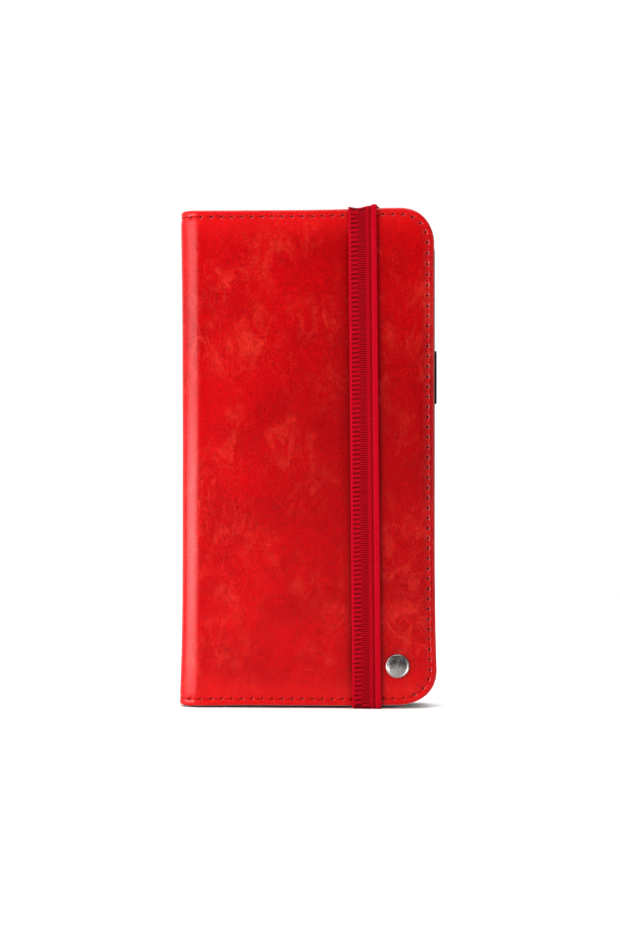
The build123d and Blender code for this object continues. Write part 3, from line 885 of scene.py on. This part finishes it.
class Finish:
    """A Principled material with short ways to add its patterns.

    Texture places are in millimetres: those stored in the mesh, or a CAD piece's own where stored is None.
    """

    def __init__(self, name, stored="cloth_place", **sockets):
        self.material = bpy.data.materials.new(name)
        self.material.use_nodes = True
        self.tree = self.material.node_tree
        self.shader = self.tree.nodes["Principled BSDF"]
        for socket, value in sockets.items():
            self.shader.inputs[socket.replace("_", " ")].default_value = value
        if stored:
            self.place = node(self.tree, "Attribute", attribute_name=stored).outputs["Vector"]
        else:
            metres = node(self.tree, "TexCoord").outputs["Object"]
            scaled = node(self.tree, "VectorMath", {0: metres}, operation="SCALE")
            scaled.inputs["Scale"].default_value = 1 / MM
            self.place = scaled.outputs["Vector"]

    def stretched(self, x, y, z):
        """The texture place with its axes scaled."""
        made = node(self.tree, "VectorMath", {0: self.place, 1: (x, y, z)}, operation="MULTIPLY")
        return made.outputs["Vector"]

    def noise(self, size, detail=3.0, roughness=0.5, place=None, shift=0.0, warp=0.0):
        """Noise with features of the given size."""
        place = place or self.place
        if shift:
            moved = node(self.tree, "VectorMath", {0: place, 1: (shift, shift, shift)}, operation="ADD")
            place = moved.outputs["Vector"]
        inputs = {"Vector": place, "Scale": 1 / size, "Detail": detail, "Roughness": roughness}
        return node(self.tree, "TexNoise", {**inputs, "Distortion": warp}).outputs["Fac"]

    def cells(self, size):
        """Distance from the nearest of scattered points, which are a size apart."""
        return node(self.tree, "TexVoronoi", {"Vector": self.place, "Scale": 1 / size}).outputs["Distance"]

    def value(self, name):
        """A value stored in the mesh: wear, painted shade or painted light."""
        return node(self.tree, "Attribute", attribute_name=name).outputs["Fac"]

    def between(self, value, low, high, to_low=0.0, to_high=1.0):
        """Maps a value's range smoothly to another range."""
        inputs = {"Value": value, "From Min": low, "From Max": high, "To Min": to_low, "To Max": to_high}
        return node(self.tree, "MapRange", inputs, interpolation_type="SMOOTHSTEP").outputs["Result"]

    def math(self, operation, a, b=0.0):
        return node(self.tree, "Math", {0: a, 1: b}, operation=operation).outputs["Value"]

    def line(self, value, width):
        """1 on the contour where a noise is one half, 0 away from it."""
        away = self.math("ABSOLUTE", self.math("SUBTRACT", value, 0.5))
        return self.between(away, 0.0, width, 1.0, 0.0)

    def mix(self, share, a, b):
        """Mixes two colours, each a colour or an output."""
        made = node(self.tree, "Mix", data_type="RGBA")
        for index, value in ((0, share), (6, a), (7, b)):
            if isinstance(value, bpy.types.NodeSocket):
                self.tree.links.new(value, made.inputs[index])
            else:
                made.inputs[index].default_value = value if index == 0 else (*value, 1)
        return made.outputs[2]

    def colour(self, output):
        self.tree.links.new(output, self.shader.inputs["Base Color"])

    def roughness(self, output):
        self.tree.links.new(output, self.shader.inputs["Roughness"])

    def bump(self, height, depth, strength):
        """Adds relief of a depth in millimetres to whatever relief is already there."""
        old = self.shader.inputs["Normal"].links
        inputs = {"Height": height, "Distance": depth * MM, "Strength": strength}
        if old:
            inputs["Normal"] = old[0].from_socket
        made = node(self.tree, "Bump", inputs)
        self.tree.links.new(made.outputs["Normal"], self.shader.inputs["Normal"])


def specked(f, base, grain, fine):
    """A leather colour with brighter and darker specks."""
    specks = (
        (grain, 0.50, 0.68, 0.6, (0.53, 0.0030, 0.0030)),
        (grain, 0.50, 0.32, 0.5, (0.28, 0.0, 0.0008)),
        (fine, 0.52, 0.70, 0.6, (0.58, 0.0060, 0.0050)),
        (fine, 0.48, 0.30, 0.7, (0.23, 0.0, 0.0008)),
    )
    for pattern, none, full, share, tone in specks:
        base = f.mix(f.between(pattern, none, full, 0.0, share), base, tone)
    return base


def wear_and_painted_light(f, base):
    """A leather colour with the wear, painted shade and painted light that the mesh stores."""
    wear = (
        # painted shade in the middle of the free side
        ("painted_shade", (0.14, 0.0, 0.0009)),
        # painted shade beside the strap
        ("strap_shade", (0.17, 0.0, 0.0010)),
        # worn edges, and painted light near the top and bottom ends
        ("edge", (0.62, 0.008, 0.009)),
        # painted shade in the needle holes
        ("hole", (0.015, 0.0, 0.001)),
    )
    for name, tone in wear:
        base = f.mix(f.value(name), base, tone)
    return base


def red_leather(name, roughness):
    """Waxed pull-up leather: brushed lighter wisps over saturated red, specks, scuffs and worn edges, with
    painted shade and painted light from the mesh.
    """
    f = Finish(name, Roughness=roughness, Specular_IOR_Level=0.3)
    cloud = f.noise(24, 4, 0.65)
    grain = f.noise(1.6, 6, 0.85, f.stretched(1.25, 1, 0.8), 90, 0.7)
    fine = f.noise(0.7, 3, 0.8, shift=170)
    base = f.mix(f.between(cloud, 0.36, 0.60), (0.37, 0.0001, 0.0026), (0.47, 0.0003, 0.0032))
    patches = f.between(f.noise(22, 3, 0.6, shift=130), 0.42, 0.56)
    wisp = f.noise(12, 8, 0.78, f.stretched(1.3, 1, 0.8), 40, 1.3)
    wisp = f.math("MULTIPLY", f.between(wisp, 0.48, 0.66), patches)
    wisp = f.math("MULTIPLY", wisp, f.between(grain, 0.38, 0.58, 0.3, 1.0))
    base = f.mix(wisp, base, (0.57, 0.034, 0.020))
    base = specked(f, base, grain, fine)
    first = f.line(f.noise(9, 2.5, 0.5, f.stretched(0.7, 1, 1.3), 200), 0.006)
    second = f.line(f.noise(7, 2, 0.5, f.stretched(1.5, 1, 0.55), 260), 0.005)
    scuff = f.math("MULTIPLY", f.math("MAXIMUM", first, second), patches)
    base = f.mix(f.math("MULTIPLY", scuff, 0.45), base, (0.60, 0.034, 0.022))
    f.colour(wear_and_painted_light(f, base))
    f.roughness(f.between(grain, 0.35, 0.65, roughness + 0.03, roughness - 0.03))
    f.bump(f.noise(2.2, 4, 0.6, shift=20), 0.05, 0.5)
    f.bump(f.between(f.cells(0.45), 0.0, 0.5), 0.02, 0.45)
    f.bump(f.math("MULTIPLY", scuff, -1.0), 0.02, 0.5)
    return f.material


def crimson_elastic():
    """Ribbed elastic: crimson yarn over dark gaps of painted shade, with a painted highlight brightest on
    the selvedges.
    """
    f = Finish("crimson_elastic", Roughness=0.75, Specular_IOR_Level=0.06)
    yarn = f.noise(0.35, 3, 0.6, f.stretched(1, 1, 0.35))
    blotch = f.noise(2.4, 3, 0.6, shift=30)
    base = f.mix(f.between(yarn, 0.3, 0.7), (0.34, 0.0004, 0.0070), (0.46, 0.0010, 0.012))
    base = f.mix(f.between(blotch, 0.35, 0.7, 0.0, 0.3), base, (0.28, 0.0, 0.005))
    # Painted highlight on the raised parts of the weave.
    base = f.mix(f.math("MULTIPLY", f.value("sheen"), 0.85), base, (0.45, 0.0008, 0.0165))
    # Painted shade in the weave's gaps and groove.
    base = f.mix(f.math("MULTIPLY", f.value("gap"), 0.9), base, (0.05, 0.0, 0.002))
    f.colour(base)
    f.bump(yarn, 0.05, 0.6)
    return f.material


def red_thread():
    f = Finish("red_thread", Roughness=0.75, Specular_IOR_Level=0.12)
    strand = f.noise(0.22, 2, 0.5)
    f.colour(f.mix(f.between(strand, 0.35, 0.65), (0.34, 0.0006, 0.002), (0.54, 0.006, 0.006)))
    f.bump(strand, 0.06, 0.6)
    return f.material


def microfibre():
    """Charcoal napped lining."""
    sheen = {"Sheen_Weight": 0.3, "Sheen_Roughness": 0.5}
    f = Finish("charcoal_microfibre", Roughness=0.9, Specular_IOR_Level=0.15, **sheen)
    nap = f.noise(0.18, 4, 0.7)
    brushed = f.noise(9, 3, 0.55, f.stretched(1, 1, 0.5), 15)
    base = f.mix(f.between(brushed, 0.35, 0.65), (0.009, 0.009, 0.010), (0.018, 0.018, 0.020))
    base = f.mix(f.between(nap, 0.45, 0.75, 0.0, 0.5), base, (0.035, 0.035, 0.038))
    # Painted shade in the needle holes.
    base = f.mix(f.value("hole"), base, (0.002, 0.002, 0.002))
    f.colour(base)
    f.bump(nap, 0.08, 0.7)
    return f.material


def gunmetal():
    """Satin dark nickel with fine random scratches, and a painted reflection that lightens the rivet's
    lower half.
    """
    f = Finish("satin_gunmetal", Metallic=0.8, Roughness=0.3)
    first = f.line(f.noise(1.6, 2, 0.5, f.stretched(0.5, 1, 2.2)), 0.012)
    second = f.line(f.noise(1.4, 2, 0.5, f.stretched(2.0, 1, 0.5), 50), 0.012)
    scratch = f.math("MAXIMUM", first, second)
    tarnish = f.noise(2.5, 4, 0.6, shift=75)
    base = f.mix(f.between(tarnish, 0.35, 0.65), (0.17, 0.16, 0.155), (0.36, 0.34, 0.33))
    # Painted reflection on the rivet's lower half.
    base = f.mix(f.math("MULTIPLY", f.value("painted_light"), 0.85), base, (0.92, 0.89, 0.86))
    f.colour(f.mix(f.math("MULTIPLY", scratch, 0.4), base, (0.70, 0.68, 0.66)))
    f.roughness(f.between(tarnish, 0.3, 0.7, 0.22, 0.36))
    f.bump(scratch, 0.015, 0.5)
    return f.material


def soft_black(name, roughness):
    """Fine-textured black polymer."""
    f = Finish(name, None, Roughness=roughness, Specular_IOR_Level=0.4)
    grain = f.noise(0.12, 3, 0.6)
    cloud = f.between(f.noise(8, 3, 0.5), 0.3, 0.7)
    f.colour(f.mix(cloud, (0.010, 0.010, 0.011), (0.017, 0.017, 0.018)))
    f.roughness(f.between(grain, 0.3, 0.7, roughness - 0.06, roughness + 0.06))
    f.bump(grain, 0.03, 0.5)
    return f.material


def foam_tape():
    f = Finish("foam_tape", None, Roughness=0.85)
    cell = f.cells(0.25)
    f.colour(f.mix(f.between(cell, 0.1, 0.6), (0.60, 0.60, 0.58), (0.82, 0.82, 0.80)))
    f.bump(cell, 0.05, 0.6)
    return f.material


def greyboard():
    """Pressed fibre board."""
    f = Finish("greyboard", None, Roughness=0.9)
    fibre = f.noise(0.8, 5, 0.7, f.stretched(1, 1, 0.4))
    f.colour(f.mix(f.between(fibre, 0.3, 0.7), (0.30, 0.26, 0.20), (0.46, 0.41, 0.33)))
    f.bump(fibre, 0.06, 0.6)
    return f.material


# ---- stage


def area_light(name, place_m, aim_m, width, height, power):
    """A flat rectangular lamp, in metres and watts, turned toward a point."""
    light = bpy.data.lights.new(name, "AREA")
    light.shape = "RECTANGLE"
    light.size = width
    light.size_y = height
    light.energy = power
    lamp = bpy.data.objects.new(name, light)
    lamp.location = place_m
    lamp.rotation_euler = (Vector(aim_m) - Vector(place_m)).to_track_quat("-Z", "Y").to_euler()
    bpy.context.scene.collection.objects.link(lamp)


def floor():
    """A plain white disc that the case stands on."""
    mesh = bpy.data.meshes.new("floor")
    radius, sides = 0.55, 96
    turns = [2 * math.pi * k / sides for k in range(sides)]
    rim = [(radius * math.cos(turn), radius * math.sin(turn), 0) for turn in turns]
    mesh.from_pydata(rim, [], [tuple(range(sides))])
    surface = bpy.data.objects.new("floor", mesh)
    bpy.context.scene.collection.objects.link(surface)
    paint = bpy.data.materials.new("white_surface")
    paint.use_nodes = True
    shader = paint.node_tree.nodes["Principled BSDF"]
    shader.inputs["Base Color"].default_value = (0.93, 0.93, 0.93, 1)
    shader.inputs["Roughness"].default_value = 0.9
    shader.inputs["Specular IOR Level"].default_value = 0.1
    mesh.materials.append(paint)
    surface.visible_glossy = False


def surroundings():
    """White to look at, and soft light that comes from behind the case and hardly from in front."""
    world = bpy.data.worlds.new("studio")
    bpy.context.scene.world = world
    world.use_nodes = True
    tree = world.node_tree
    tree.nodes.clear()
    heading = node(tree, "TexCoord").outputs["Generated"]
    depth = node(tree, "SeparateXYZ", {0: heading}).outputs["Y"]
    ramp = {"Value": depth, "From Min": -0.2, "From Max": 0.5, "To Min": 0.04, "To Max": 0.9}
    strength = node(tree, "MapRange", ramp, interpolation_type="SMOOTHSTEP").outputs["Result"]
    dim = node(tree, "Background", {"Color": (1, 1, 1, 1), "Strength": strength})
    white = node(tree, "Background", {"Color": (1, 1, 1, 1), "Strength": 1.02})
    seen = node(tree, "LightPath").outputs["Is Camera Ray"]
    either = node(tree, "MixShader", {0: seen, 1: dim.outputs[0], 2: white.outputs[0]})
    output = node(tree, "OutputWorld")
    tree.links.new(either.outputs[0], output.inputs["Surface"])


def lamps():
    """Tall lamps at both sides, the left ones stronger, and two above. Also the picture's tones."""
    middle = (0, 0, 0.085)
    area_light("main_left", (-0.40, -0.43, 0.09), middle, 0.36, 0.7, 4.2)
    area_light("side_left", (-0.43, -0.12, 0.09), middle, 0.24, 0.6, 0.8)
    area_light("low_left", (-0.21, -0.12, 0.05), (0, 0, 0.01), 0.16, 0.09, 0.22)
    area_light("main_right", (0.36, -0.46, 0.09), middle, 0.16, 0.7, 0.5)
    area_light("side_right", (0.42, -0.10, 0.09), middle, 0.2, 0.6, 0.6)
    area_light("overhead", (0, 0.3, 1.2), (0, 0.3, 0), 1.5, 1.5, 15)
    area_light("front_top", (0, -0.32, 0.8), (0, -0.2, 0), 0.6, 0.6, 3.4)
    view = bpy.context.scene.view_settings
    view.view_transform = "Standard"
    view.gamma = 0.88


def camera():
    """Eye level with the case's middle, a little to the free edge's side."""
    distance = 0.65
    azimuth = math.radians(2.5)
    target = Vector((0.00035, Y_FRONT * MM, 0.08118))
    data = bpy.data.cameras.new("camera")
    data.sensor_width = 36
    data.lens = 75.43
    data.clip_start = 0.01
    eye = bpy.data.objects.new("camera", data)
    eye.location = target + Vector((math.sin(azimuth), -math.cos(azimuth), 0)) * distance
    eye.rotation_euler = (math.pi / 2, 0, azimuth)
    bpy.context.scene.collection.objects.link(eye)
    bpy.context.scene.camera = eye


# ---- assembly


def finished(piece, body, material, slot, *nodes):
    """Dresses a piece, puts it on its body and hides the CAD nodes it stands for."""
    piece.data.materials.append(material)
    if body:
        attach(piece, body)
    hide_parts(*nodes)


def finished_bend(piece, material, slot, *nodes, rear=False):
    """Does the same for a skin that runs from a cover over the spine, but puts it on no body and bakes its
    place into its mesh.
    """
    finished(piece, None, material, slot, *nodes)
    if rear:
        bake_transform(piece)
    else:
        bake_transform(piece)


def paint_cad(material, *names):
    """Gives CAD nodes that are shown as they are a material."""
    for name in names:
        slots = frame["nodes"][name].data.materials
        slots.clear()
        slots.append(material)


leather = red_leather("waxed_red_leather", 0.26)
pocket_leather = red_leather("satin_red_leather", 0.42)
thread = red_thread()
elastic = crimson_elastic()
lining = microfibre()
metal = gunmetal()
board = greyboard()

skin = leather_skin("front_leather_skin", front_relief)
finished_bend(skin, leather, "red_leather", "front_leather", "spine_leather")
skin = leather_skin("rear_leather_skin", rear_relief, rear=True)
cut_window(skin, 0.9)
finished_bend(skin, leather, "red_leather", "rear_leather", "spine_leather", rear=True)
finished(window_rim(), "rear_cover", leather, "red_leather", "rear_leather")

finished_bend(cover_threads("front_stitches"), thread, "thread", "front_seam_thread")
finished_bend(cover_threads("rear_stitches", rear=True), thread, "thread", "rear_seam_thread", rear=True)

finished_bend(lining_skin("front_lining_skin"), lining, "lining", "front_lining", "spine_lining")
skin = lining_skin("rear_lining_skin", rear=True)
cut_window(skin, 0.15)
finished_bend(skin, lining, "lining", "rear_lining", "spine_lining", rear=True)

finished(spine_stiffener(), "spine", board, "board", "spine_board")
for pocket in POCKETS:
    finished(pocket_panel(pocket), "front_cover", pocket_leather, "pocket_leather", pocket)
finished(pocket_stitches(), "front_cover", thread, "thread", "pocket_thread")

finished(front_strand(), "strap", elastic, "elastic", "strap_front")
for end_name, is_top in (("strap_top_end", True), ("strap_bottom_end", False)):
    run = end_run(end_name + "_weave", is_top)
    finished(run, "rear_cover", elastic, "elastic", end_name)
    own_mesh(run)

finished(rivet_head(), "front_cover", metal, "gunmetal", "rivet_cap")

paint_cad(soft_black("tray_polymer", 0.5), "tray_shell")
paint_cad(soft_black("button_elastomer", 0.62), "power_button", "volume_up_button", "volume_down_button")
paint_cad(board, "front_board", "rear_board")
paint_cad(foam_tape(), "adhesive_pad")
paint_cad(metal, "rivet_back")

floor()
surroundings()
lamps()
camera()
